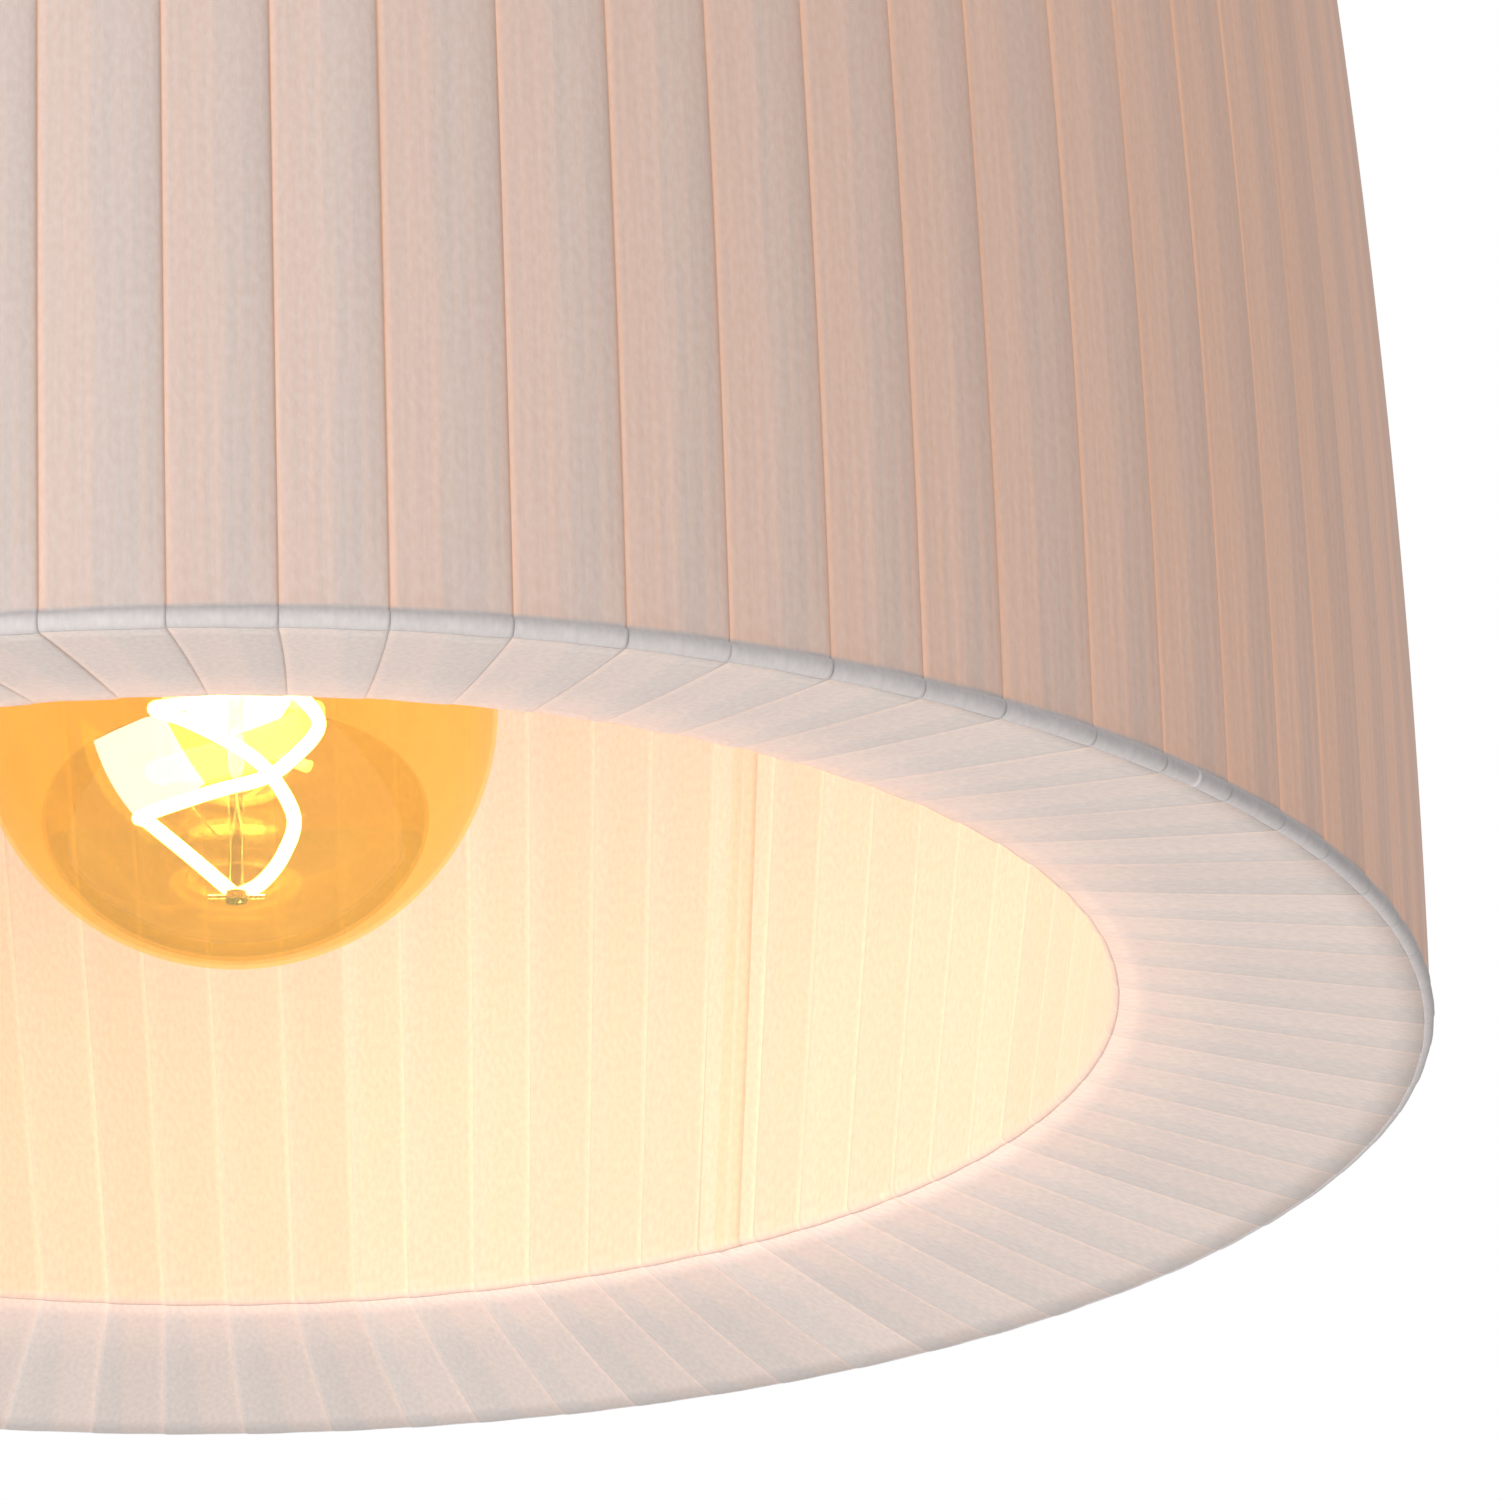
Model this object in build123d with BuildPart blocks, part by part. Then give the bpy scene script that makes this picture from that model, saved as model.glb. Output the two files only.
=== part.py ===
"""Drum lamp shade wound with sheer ribbon over a double-walled wire frame.

The shade hangs on an E27 lampholder, is held there by a screwed shade ring, and is lit by a globe bulb.
Frame: millimetres, +Z up along the shade's axis, origin in the mouth of the lampholder's M10 cord inlet.
"""

from build123d import *
from math import asin, atan2, cos, degrees, hypot, radians, sin
import os

os.makedirs("parts", exist_ok=True)

# ---------------------------------------------------------------- driving dimensions

RIM_DROP = 212.0  # cord inlet's mouth down to the plane of the bottom outer ring
SHADE_HEIGHT = 250.0  # bottom outer ring's plane to top ring's plane
RIM_RADIUS = 208.5  # centre line of the bottom outer ring
TOP_RADIUS = 203.4  # centre line of the top ring
INNER_RADIUS = 156.4  # centre line of the bottom inner ring
INNER_LIFT = 11.8  # bottom inner ring above the rim's plane
WALL_BOW = 3.0  # outward bow of the outer wall at half height
RIB_BOW = 2.6  # outward bow of the outer ribs, just inside the ribbon
RIB_INSET = 0.8  # outer ribs are welded this far inside the rings' centre lines

WIRE_RADIUS = 1.1  # rings
RIB_RADIUS = 1.0  # ribs and struts
ARM_RADIUS = 1.6  # spider arms
RIBBON_THICKNESS = 0.4  # two layers of ribbon where the turns overlap

RIB_COUNT = 6
FIRST_RIB_ANGLE = 26.0  # measured from -Y towards +X
INNER_RIB_SHIFT = 1.2  # inner ribs and struts are welded beside the outer ones
ARM_COUNT = 3
ARM_SHIFT = -1.4
ARM_GAP = 0.5  # ribbon's notch round a spider arm
NOTCH_RISE = 3.0
NOTCH_DROP = 5.0
NOTCH_REACH = 6.0

ARM_BITE = 0.5  # arm's foot starts this far inside the fitter's edge

FITTER_BORE = 21.0  # 42 mm hole that slips over an E27 skirt
FITTER_OUTER = 27.0
FITTER_THICKNESS = 2.0

CORD_THREAD_RADIUS = 5.0  # M10 x 1
CORD_THREAD_LENGTH = 10.0
NECK_RADIUS = 8.0
NECK_LENGTH = 8.0
CAP_RADIUS = 22.0
CAP_WALL = 1.4
CAP_SHOULDER = 20.0  # below the inlet's mouth
CAP_DOME_BEND = 16.0
CAP_DOME_BORE_BEND = 15.5
CAP_DOME_GAUGE = 1.0
CAP_LIP = 0.1  # cap's edge above the flange's shoulder
GRUB_RADIUS = 1.45
GRUB_HOLE = 1.5
GRUB_INSET = 0.4
GRUB_LENGTH = 3.0
GRUB_SLOT = (2.4, 0.5)
GRUB_SLOT_DEPTH = 0.9
FLANGE_TOP = 44.0
FLANGE_RADIUS = 24.0
FLANGE_THICKNESS = 3.0
SKIRT_RADIUS = 19.8
SKIRT_BORE = 18.0
SKIRT_MOUTH = 72.0
SKIRT_COLLAR = 8.0  # screws up into the cap
SKIRT_CHAMFER = 0.6
COLLAR_GAP = 0.2

SHADE_RING_OUTER = 28.5
SHADE_RING_HEIGHT = 8.0
SHADE_RING_CHAMFER = 1.2
GRIP_COUNT = 18
GRIP_RADIUS = 1.1
GRIP_STOP = 1.5  # grip grooves end below the ring's upper face
RUNNING_GAP = 0.3

INSERT_RADIUS = 17.7
INSERT_TOP = 34.0
INSERT_FLOOR = 43.5
INSERT_MOUTH = 70.0
THREAD_SHELL_OUTER = 14.3
THREAD_SHELL_BORE = 13.6
THREAD_SHELL_GAP = 0.1
THREAD_SHELL_END = 3.0  # below the insert's floor
CONTACT_STRAP = (18.0, 6.0)
CONTACT_STRAP_GAUGE = 0.6
CONTACT_PIP_RADIUS = 2.6
CONTACT_PIP_HEIGHT = 1.0
TERMINAL_OFFSET = 9.5
TERMINAL_SIZE = (8.0, 7.0, 6.0)
TERMINAL_HOLE = 1.6
SCREW_SHANK_RADIUS = 1.5
SCREW_SHANK_END = 1.0
SCREW_HEAD_RADIUS = 2.8
SCREW_HEAD_HEIGHT = 1.8
SCREW_SLOT = (5.0, 0.8)

BULB_TIP = 45.5  # solder contact, below the inlet's mouth
BULB_CAP_RADIUS = 13.2
BULB_CAP_TOP = 50.5
BULB_CAP_MOUTH = 72.5
BULB_CAP_METAL = 0.5
BULB_CAP_CONE = 3.0
BULB_CAP_LIP = 0.4
BULB_CAP_EDGE = 0.3  # metal ends above the glass's step
INSULATOR_DROP = 1.8
INSULATOR_TIP_RADIUS = 5.2
SOLDER_RADIUS = 4.6
SOLDER_FILLET = 1.0
GLOBE_RADIUS = 47.5
GLOBE_CENTRE = 137.0
GLASS_WALL = 0.8
BULB_NECK_RADIUS = 14.2
NECK_END = 80.0
TUCK_STEP = 0.9  # the glass reduces where it enters the cap
TUCK_SLOPE = 1.5
TUCK_TOP = 66.0
STEM_RADIUS = 4.0
STEM_ROD_RADIUS = 1.4
STEM_ROD_END = 36.0  # below the globe's centre
STEM_DROP = 1.0  # stem's flare below the glass's tucked end
STEM_FLARE_GAP = 0.4
STEM_FLARE_EDGE = 1.0
STEM_FLARE_FOOT = (1.5, 12.0)  # wider than the stem, below its top
PINCH_RISE = 30.0  # above the globe's centre
PINCH_SHOULDER = 5.0
PINCH_STEP = 0.6
PINCH_TAPER = 3.0
FILAMENT_RADIUS = 1.1
FILAMENT_COIL = 14.6
FILAMENT_PITCH = 40.0
FILAMENT_HEIGHT = 50.0
FILAMENT_FOOT = 28.0  # coil's lower end, below the globe's centre
FILAMENT_START = 62.0  # turn of the coil's lower end from +X
FITTING_GAP = 0.1  # between glass, metal and insulator
LEAD_RADIUS = 0.4
LEAD_GAP = 0.2
LEAD_START = 2.0
STRAND_COUNT = 2
HOOK_COLLAR = 0.6
HOOK_HEIGHT = 1.6
HOOK_BAR_RADIUS = 0.5
HOOK_BAR_LENGTH = 10.0
HOOK_BAR_DROP = 0.9

RIM_Z = -RIM_DROP
INNER_Z = RIM_Z + INNER_LIFT
TOP_Z = RIM_Z + SHADE_HEIGHT
FITTER_TOP_Z = -(FLANGE_TOP + FLANGE_THICKNESS) - RUNNING_GAP
FITTER_Z = FITTER_TOP_Z - FITTER_THICKNESS

# The three ring wires as points of the half section: radius, height.
RIM = (RIM_RADIUS, RIM_Z)
INNER = (INNER_RADIUS, INNER_Z)
TOP = (TOP_RADIUS, TOP_Z)


# ---------------------------------------------------------------- helpers


def section_plane(angle: float) -> Plane:
    """Upright half plane through the axis, its x pointing out at an angle from -Y towards +X."""
    turn = radians(angle)
    outwards = (sin(turn), -cos(turn), 0)
    return Plane(origin=(0, 0, 0), x_dir=outwards, z_dir=(-cos(turn), -sin(turn), 0))


def away(point: tuple, centre: tuple, distance: float) -> tuple:
    """The point at a distance from the centre, towards the given point."""
    length = hypot(point[0] - centre[0], point[1] - centre[1])
    return (
        centre[0] + (point[0] - centre[0]) * distance / length,
        centre[1] + (point[1] - centre[1]) * distance / length,
    )


def finish(part: Part, name: str) -> None:
    """Labels a piece and writes its file."""
    part.label = name
    export_step(part, f"parts/{name}.step")


def ring_wire(ring: tuple) -> Part:
    """A closed wire ring whose section sits at a point of the half section."""
    with BuildPart() as wire:
        with BuildSketch(Plane.XZ):
            with Locations(ring):
                Circle(WIRE_RADIUS)
        revolve(axis=Axis.Z)
    return wire.part


def ribbon_panel(first: tuple, last: tuple, bow: float = 0.0) -> Part:
    """One side of the wound ribbon, stretched round two ring wires.

    The ribbon hugs each wire from the direction that halves the section's corner, and runs between them.
    """
    middle = (
        (RIM[0] + INNER[0] + TOP[0]) / 3,
        (RIM[1] + INNER[1] + TOP[1]) / 3,
    )
    run_angle = degrees(atan2(last[1] - first[1], last[0] - first[0]))
    normal = run_angle - 90
    spread_first = degrees(atan2(first[1] - middle[1], first[0] - middle[0]))
    spread_last = degrees(atan2(last[1] - middle[1], last[0] - middle[0]))
    first_turn = (normal - spread_first + 180) % 360 - 180
    last_turn = (spread_last - normal + 180) % 360 - 180
    way = (cos(radians(normal)), sin(radians(normal)))
    halfway = ((first[0] + last[0]) / 2, (first[1] + last[1]) / 2)
    with BuildPart() as panel:
        with BuildSketch(Plane.XZ):
            with BuildLine():
                ends = []
                for radius in (WIRE_RADIUS, WIRE_RADIUS + RIBBON_THICKNESS):
                    hug_first = CenterArc(first, radius, spread_first, first_turn)
                    hug_last = CenterArc(last, radius, normal, last_turn)
                    if bow:
                        crown = radius + bow
                        peak = (halfway[0] + way[0] * crown, halfway[1] + way[1] * crown)
                        ThreePointArc(hug_first @ 1, peak, hug_last @ 0)
                    else:
                        Line(hug_first @ 1, hug_last @ 0)
                    ends.append((hug_first @ 0, hug_last @ 1))
                Line(ends[0][0], ends[1][0])
                Line(ends[0][1], ends[1][1])
            make_face()
        revolve(axis=Axis.Z)
    return panel.part


def straight_wire(plane: Plane, first: tuple, last: tuple, radius: float, short: float = 0.0) -> Part:
    """A straight wire along a line between two points of a plane, ending short of both."""
    with BuildPart() as wire:
        with BuildLine(plane) as path:
            Line(away(last, first, short), away(first, last, short))
        with BuildSketch(Plane(origin=path.line @ 0, z_dir=path.line % 0)):
            Circle(radius)
        sweep()
    return wire.part


# ---------------------------------------------------------------- wire frame

bottom_outer_ring = ring_wire(RIM)
bottom_inner_ring = ring_wire(INNER)
top_ring = ring_wire(TOP)
finish(bottom_outer_ring, "bottom_outer_ring")
finish(bottom_inner_ring, "bottom_inner_ring")
finish(top_ring, "top_ring")

RIB_FOOT = (RIM_RADIUS - RIB_INSET, RIM_Z)
RIB_HEAD = (TOP_RADIUS - RIB_INSET, TOP_Z)
RIB_MIDDLE = ((RIB_FOOT[0] + RIB_HEAD[0]) / 2 + RIB_BOW, RIM_Z + SHADE_HEIGHT / 2)

for index in range(RIB_COUNT):
    rib_angle = FIRST_RIB_ANGLE + 360 / RIB_COUNT * index
    rib_plane = section_plane(rib_angle)
    beside = section_plane(rib_angle + INNER_RIB_SHIFT)

    # Each wire is butt-welded: its flat ends touch the ring wires.
    with BuildPart() as outer_rib:
        with BuildLine(rib_plane):
            whole = ThreePointArc(RIB_FOOT, RIB_MIDDLE, RIB_HEAD, mode=Mode.PRIVATE)
            end = WIRE_RADIUS / whole.length
            bend = ThreePointArc(whole @ end, whole @ 0.5, whole @ (1 - end))
        with BuildSketch(Plane(origin=bend @ 0, z_dir=bend % 0)):
            Circle(RIB_RADIUS)
        bend_axis = Axis(bend.arc_center, (bend @ 0 - bend.arc_center).cross(bend % 0))
        revolve(axis=bend_axis, revolution_arc=degrees(bend.length / bend.radius))
    finish(outer_rib.part, f"outer_rib_{index + 1}")

    bottom_strut = straight_wire(beside, RIM, INNER, RIB_RADIUS, WIRE_RADIUS)
    finish(bottom_strut, f"bottom_strut_{index + 1}")

    inner_rib = straight_wire(beside, INNER, TOP, RIB_RADIUS, WIRE_RADIUS)
    finish(inner_rib, f"inner_rib_{index + 1}")

# ---------------------------------------------------------------- spider: fitter ring and arms

with BuildPart() as fitter_ring:
    with BuildSketch(Plane.XY.offset(FITTER_Z)):
        Circle(FITTER_OUTER)
        Circle(FITTER_BORE, mode=Mode.SUBTRACT)
    extrude(amount=FITTER_THICKNESS)
finish(fitter_ring.part, "fitter_ring")

ARM_FOOT = (FITTER_OUTER - ARM_BITE, FITTER_TOP_Z)

arm_planes = [
    section_plane(FIRST_RIB_ANGLE + ARM_SHIFT + 360 / ARM_COUNT * index) for index in range(ARM_COUNT)
]
for index, arm_plane in enumerate(arm_planes):
    with BuildPart() as spider_arm:
        add(straight_wire(arm_plane, ARM_FOOT, TOP, ARM_RADIUS))
        add(fitter_ring.part, mode=Mode.SUBTRACT)
        add(top_ring, mode=Mode.SUBTRACT)
    finish(spider_arm.part, f"spider_arm_{index + 1}")

# ---------------------------------------------------------------- ribbon

outer_ribbon = ribbon_panel(RIM, TOP, WALL_BOW)
finish(outer_ribbon, "outer_ribbon")

bottom_ribbon = ribbon_panel(INNER, RIM)
finish(bottom_ribbon, "bottom_ribbon")

# The inner side parts round each spider arm in a notch that is open at the top.
with BuildPart() as inner_ribbon:
    add(ribbon_panel(TOP, INNER))
    for arm_plane in arm_planes:
        with BuildSketch(arm_plane):
            with Locations((TOP_RADIUS, TOP_Z + NOTCH_RISE)):
                Rectangle(NOTCH_REACH, NOTCH_RISE + NOTCH_DROP, align=(Align.MAX, Align.MAX))
        extrude(amount=ARM_RADIUS + ARM_GAP, both=True, mode=Mode.SUBTRACT)
finish(inner_ribbon.part, "inner_ribbon")

# ---------------------------------------------------------------- lampholder

CAP_BORE = CAP_RADIUS - CAP_WALL
GRUB_FOOT = CORD_THREAD_RADIUS + GRUB_INSET

with BuildPart() as holder_cap:
    with BuildSketch(Plane.XZ):
        with BuildLine():
            inlet = Line((CORD_THREAD_RADIUS, -CORD_THREAD_LENGTH), (CORD_THREAD_RADIUS, 0))
            Line(inlet @ 1, (NECK_RADIUS, 0))
            Line((NECK_RADIUS, 0), (NECK_RADIUS, -NECK_LENGTH))
            dome = RadiusArc((NECK_RADIUS, -NECK_LENGTH), (CAP_RADIUS, -CAP_SHOULDER), CAP_DOME_BEND)
            outside = Line(dome @ 1, (CAP_RADIUS, -FLANGE_TOP + CAP_LIP))
            lip = Line(outside @ 1, (CAP_BORE, -FLANGE_TOP + CAP_LIP))
            inside = Line(lip @ 1, (CAP_BORE, -CAP_SHOULDER - CAP_DOME_GAUGE))
            RadiusArc(inside @ 1, inlet @ 0, -CAP_DOME_BORE_BEND)
        make_face()
    revolve(axis=Axis.Z)
    with BuildSketch(Plane.YZ.offset(CORD_THREAD_RADIUS - CAP_DOME_GAUGE)):
        with Locations((0, -NECK_LENGTH / 2)):
            Circle(GRUB_HOLE)
    extrude(amount=NECK_RADIUS, mode=Mode.SUBTRACT)
finish(holder_cap.part, "holder_cap")

with BuildPart() as cap_grub_screw:
    with BuildSketch(Plane.YZ.offset(GRUB_FOOT)):
        with Locations((0, -NECK_LENGTH / 2)):
            Circle(GRUB_RADIUS)
    extrude(amount=GRUB_LENGTH)
    with BuildSketch(Plane.YZ.offset(GRUB_FOOT + GRUB_LENGTH)):
        with Locations((0, -NECK_LENGTH / 2)):
            Rectangle(*GRUB_SLOT)
    extrude(amount=-GRUB_SLOT_DEPTH, mode=Mode.SUBTRACT)
finish(cap_grub_screw.part, "cap_grub_screw")

FLANGE_BOTTOM = FLANGE_TOP + FLANGE_THICKNESS
COLLAR_RADIUS = CAP_BORE - COLLAR_GAP

with BuildPart() as holder_skirt:
    with BuildSketch(Plane.XZ):
        with BuildLine():
            Polyline(
                (SKIRT_BORE, -SKIRT_MOUTH),
                (SKIRT_RADIUS - SKIRT_CHAMFER, -SKIRT_MOUTH),
                (SKIRT_RADIUS, -SKIRT_MOUTH + SKIRT_CHAMFER),
                (SKIRT_RADIUS, -FLANGE_BOTTOM),
                (FLANGE_RADIUS, -FLANGE_BOTTOM),
                (FLANGE_RADIUS, -FLANGE_TOP),
                (COLLAR_RADIUS, -FLANGE_TOP),
                (COLLAR_RADIUS, -FLANGE_TOP + SKIRT_COLLAR),
                (SKIRT_BORE, -FLANGE_TOP + SKIRT_COLLAR),
                close=True,
            )
        make_face()
    revolve(axis=Axis.Z)
finish(holder_skirt.part, "holder_skirt")

with BuildPart() as socket_insert:
    with BuildSketch(Plane.XY.offset(-INSERT_MOUTH)):
        Circle(INSERT_RADIUS)
    extrude(amount=INSERT_MOUTH - INSERT_TOP)
    with BuildSketch(Plane.XY.offset(-INSERT_MOUTH)):
        Circle(THREAD_SHELL_OUTER + THREAD_SHELL_GAP)
    extrude(amount=INSERT_MOUTH - INSERT_FLOOR, mode=Mode.SUBTRACT)
finish(socket_insert.part, "socket_insert")

with BuildPart() as thread_shell:
    with BuildSketch(Plane.XY.offset(-INSERT_MOUTH)):
        Circle(THREAD_SHELL_OUTER)
        Circle(THREAD_SHELL_BORE, mode=Mode.SUBTRACT)
    extrude(amount=INSERT_MOUTH - INSERT_FLOOR - THREAD_SHELL_END)
finish(thread_shell.part, "thread_shell")

with BuildPart() as centre_contact:
    with BuildSketch(Plane.XY.offset(-INSERT_FLOOR)):
        SlotOverall(*CONTACT_STRAP)
    extrude(amount=-CONTACT_STRAP_GAUGE)
    with BuildSketch(Plane.XY.offset(-INSERT_FLOOR - CONTACT_STRAP_GAUGE)):
        Circle(CONTACT_PIP_RADIUS)
    extrude(amount=-CONTACT_PIP_HEIGHT)
finish(centre_contact.part, "centre_contact")

terminal_places = [(-TERMINAL_OFFSET, 0), (TERMINAL_OFFSET, 0)]

with BuildPart() as terminal_blocks:
    with BuildSketch(Plane.XY.offset(-INSERT_TOP)):
        with Locations(*terminal_places):
            Rectangle(TERMINAL_SIZE[0], TERMINAL_SIZE[1])
            Circle(TERMINAL_HOLE, mode=Mode.SUBTRACT)
    extrude(amount=TERMINAL_SIZE[2])
finish(terminal_blocks.part, "terminal_blocks")

with BuildPart() as terminal_screws:
    with BuildSketch(Plane.XY.offset(-INSERT_TOP + SCREW_SHANK_END)):
        with Locations(*terminal_places):
            Circle(SCREW_SHANK_RADIUS)
    extrude(amount=TERMINAL_SIZE[2] - SCREW_SHANK_END)
    with BuildSketch(Plane.XY.offset(-INSERT_TOP + TERMINAL_SIZE[2])):
        with Locations(*terminal_places):
            Circle(SCREW_HEAD_RADIUS)
            Rectangle(*SCREW_SLOT, mode=Mode.SUBTRACT)
    extrude(amount=SCREW_HEAD_HEIGHT)
finish(terminal_screws.part, "terminal_screws")

# ---------------------------------------------------------------- shade ring

with BuildPart() as shade_ring:
    with BuildSketch(Plane.XY.offset(FITTER_Z - RUNNING_GAP)):
        Circle(SHADE_RING_OUTER)
        Circle(SKIRT_RADIUS + RUNNING_GAP, mode=Mode.SUBTRACT)
    extrude(amount=-SHADE_RING_HEIGHT)
    chamfer(shade_ring.edges().group_by(Axis.Z)[0].sort_by(SortBy.LENGTH)[-1], SHADE_RING_CHAMFER)
    with BuildSketch(Plane.XY.offset(FITTER_Z - RUNNING_GAP - SHADE_RING_HEIGHT)):
        with PolarLocations(SHADE_RING_OUTER, GRIP_COUNT):
            Circle(GRIP_RADIUS)
    extrude(amount=SHADE_RING_HEIGHT - GRIP_STOP, mode=Mode.SUBTRACT)
finish(shade_ring.part, "shade_ring")

# ---------------------------------------------------------------- globe bulb

fillet_drop = GLOBE_CENTRE - NECK_END
NECK_FILLET = (BULB_NECK_RADIUS**2 + fillet_drop**2 - GLOBE_RADIUS**2) / (
    2 * (GLOBE_RADIUS - BULB_NECK_RADIUS)
)
fillet_centre = (BULB_NECK_RADIUS + NECK_FILLET, -NECK_END)
globe_centre = (0.0, -GLOBE_CENTRE)
TUCK_RADIUS = BULB_CAP_RADIUS - TUCK_STEP

with BuildPart() as bulb_glass:
    with BuildSketch(Plane.XZ):
        with BuildLine():
            lips = []
            for inset in (0.0, GLASS_WALL):
                meeting = away(fillet_centre, globe_centre, GLOBE_RADIUS - inset)
                start_angle = degrees(atan2(meeting[1] + GLOBE_CENTRE, meeting[0]))
                CenterArc(globe_centre, GLOBE_RADIUS - inset, -90, 90 + start_angle)
                neck_turn = -degrees(asin(fillet_drop / (GLOBE_RADIUS + NECK_FILLET)))
                flare = CenterArc(fillet_centre, NECK_FILLET + inset, 180, -neck_turn)
                shoulder = (BULB_NECK_RADIUS - inset, -BULB_CAP_MOUTH - TUCK_SLOPE + inset)
                Line(flare @ 0, shoulder)
                Line(shoulder, (TUCK_RADIUS - inset, -BULB_CAP_MOUTH + inset))
                Line((TUCK_RADIUS - inset, -BULB_CAP_MOUTH + inset), (TUCK_RADIUS - inset, -TUCK_TOP))
                lips.append((TUCK_RADIUS - inset, -TUCK_TOP))
            Line(lips[0], lips[1])
            Line((0, -GLOBE_CENTRE - GLOBE_RADIUS), (0, -GLOBE_CENTRE - GLOBE_RADIUS + GLASS_WALL))
        make_face()
    revolve(axis=Axis.Z)
finish(bulb_glass.part, "bulb_glass")

CONE_RADIUS = BULB_CAP_RADIUS - BULB_CAP_CONE
CONE_BORE = CONE_RADIUS - BULB_CAP_METAL

with BuildPart() as bulb_cap:
    with BuildSketch(Plane.XZ):
        with BuildLine():
            Polyline(
                (BULB_CAP_RADIUS, -BULB_CAP_MOUTH + BULB_CAP_EDGE),
                (BULB_CAP_RADIUS, -BULB_CAP_TOP - BULB_CAP_CONE),
                (CONE_RADIUS, -BULB_CAP_TOP),
                (CONE_BORE, -BULB_CAP_TOP),
                (CONE_BORE, -BULB_CAP_TOP - BULB_CAP_LIP),
                (BULB_CAP_RADIUS - BULB_CAP_METAL, -BULB_CAP_TOP - BULB_CAP_CONE - BULB_CAP_EDGE),
                (BULB_CAP_RADIUS - BULB_CAP_METAL, -BULB_CAP_MOUTH + BULB_CAP_EDGE),
                close=True,
            )
        make_face()
    revolve(axis=Axis.Z)
finish(bulb_cap.part, "bulb_cap")

INSULATOR_TOP = BULB_TIP + INSULATOR_DROP
with BuildPart() as bulb_insulator:
    with BuildSketch(Plane.XZ):
        with BuildLine():
            Polyline(
                (0, -BULB_CAP_TOP),
                (CONE_BORE - FITTING_GAP, -BULB_CAP_TOP),
                (INSULATOR_TIP_RADIUS, -INSULATOR_TOP),
                (0, -INSULATOR_TOP),
                close=True,
            )
        make_face()
    revolve(axis=Axis.Z)
finish(bulb_insulator.part, "bulb_insulator")

with BuildPart() as bulb_contact:
    with BuildSketch(Plane.XY.offset(-INSULATOR_TOP)):
        Circle(SOLDER_RADIUS)
    extrude(amount=INSULATOR_TOP - BULB_TIP)
    fillet(bulb_contact.edges().group_by(Axis.Z)[-1], SOLDER_FILLET)
finish(bulb_contact.part, "bulb_contact")

# ---------------------------------------------------------------- inside the bulb

STEM_TOP = TUCK_TOP + STEM_DROP
STEM_FLARE = TUCK_RADIUS - GLASS_WALL - STEM_FLARE_GAP
PINCH_END = GLOBE_CENTRE - PINCH_RISE
ROD_END = GLOBE_CENTRE + STEM_ROD_END

with BuildPart() as glass_stem:
    with BuildSketch(Plane.XZ):
        with BuildLine():
            Polyline(
                (0, -STEM_TOP),
                (STEM_FLARE, -STEM_TOP),
                (STEM_FLARE, -STEM_TOP - STEM_FLARE_EDGE),
                (STEM_RADIUS + STEM_FLARE_FOOT[0], -STEM_TOP - STEM_FLARE_FOOT[1]),
                (STEM_RADIUS, -PINCH_END + PINCH_SHOULDER),
                (STEM_RADIUS - PINCH_STEP, -PINCH_END),
                (STEM_ROD_RADIUS, -PINCH_END - PINCH_TAPER),
                (STEM_ROD_RADIUS, -ROD_END),
                (0, -ROD_END),
                close=True,
            )
        make_face()
    revolve(axis=Axis.Z)
finish(glass_stem.part, "glass_stem")

COIL_FOOT_Z = -GLOBE_CENTRE - FILAMENT_FOOT
COIL_HEAD_Z = COIL_FOOT_Z + FILAMENT_HEIGHT

with BuildPart() as strand:
    with BuildLine(Plane.XY.offset(COIL_FOOT_Z)) as coil:
        Helix(FILAMENT_PITCH, FILAMENT_HEIGHT, FILAMENT_COIL, lefthand=True)
    with BuildSketch(Plane(origin=coil.line @ 0, z_dir=coil.line % 0)):
        Circle(FILAMENT_RADIUS)
    sweep(is_frenet=True)

coil_end = coil.line @ 1
end_side = Vector(coil_end.X, coil_end.Y, 0).normalized()
pinch_point = end_side * (STEM_RADIUS + LEAD_GAP) + Vector(0, 0, -PINCH_END + LEAD_START)
end_point = end_side * (FILAMENT_COIL - FILAMENT_RADIUS - LEAD_GAP) + Vector(0, 0, COIL_HEAD_Z)

with BuildPart() as lead:
    with BuildLine() as lead_path:
        Line(pinch_point, end_point)
    with BuildSketch(Plane(origin=pinch_point, z_dir=lead_path.line % 0)):
        Circle(LEAD_RADIUS)
    sweep()

with BuildPart() as filament:
    with PolarLocations(0, STRAND_COUNT, start_angle=FILAMENT_START):
        add(strand.part)
finish(filament.part, "filament")

with BuildPart() as lead_wires:
    with PolarLocations(0, STRAND_COUNT, start_angle=FILAMENT_START):
        add(lead.part)
finish(lead_wires.part, "lead_wires")

with BuildPart() as filament_hook:
    with BuildSketch(Plane.XY.offset(-ROD_END - FITTING_GAP)):
        Circle(STEM_ROD_RADIUS + HOOK_COLLAR)
    extrude(amount=-HOOK_HEIGHT)
    with BuildSketch(Plane.YZ.offset(-HOOK_BAR_LENGTH / 2)):
        with Locations((0, -ROD_END - HOOK_BAR_DROP)):
            Circle(HOOK_BAR_RADIUS)
    extrude(amount=HOOK_BAR_LENGTH)
finish(filament_hook.part, "filament_hook")
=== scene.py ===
"""The looks of a ribbon-wound drum lamp shade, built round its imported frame.

Metres, +Z up along the shade's axis. The section of the winding is worked out from the frame's three ring wires.
"""

from __future__ import annotations

import logging
import math
from dataclasses import dataclass, field
from enum import Enum
from typing import Any, Iterable, Sequence

import bpy
from mathutils import Matrix, Vector


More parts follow.
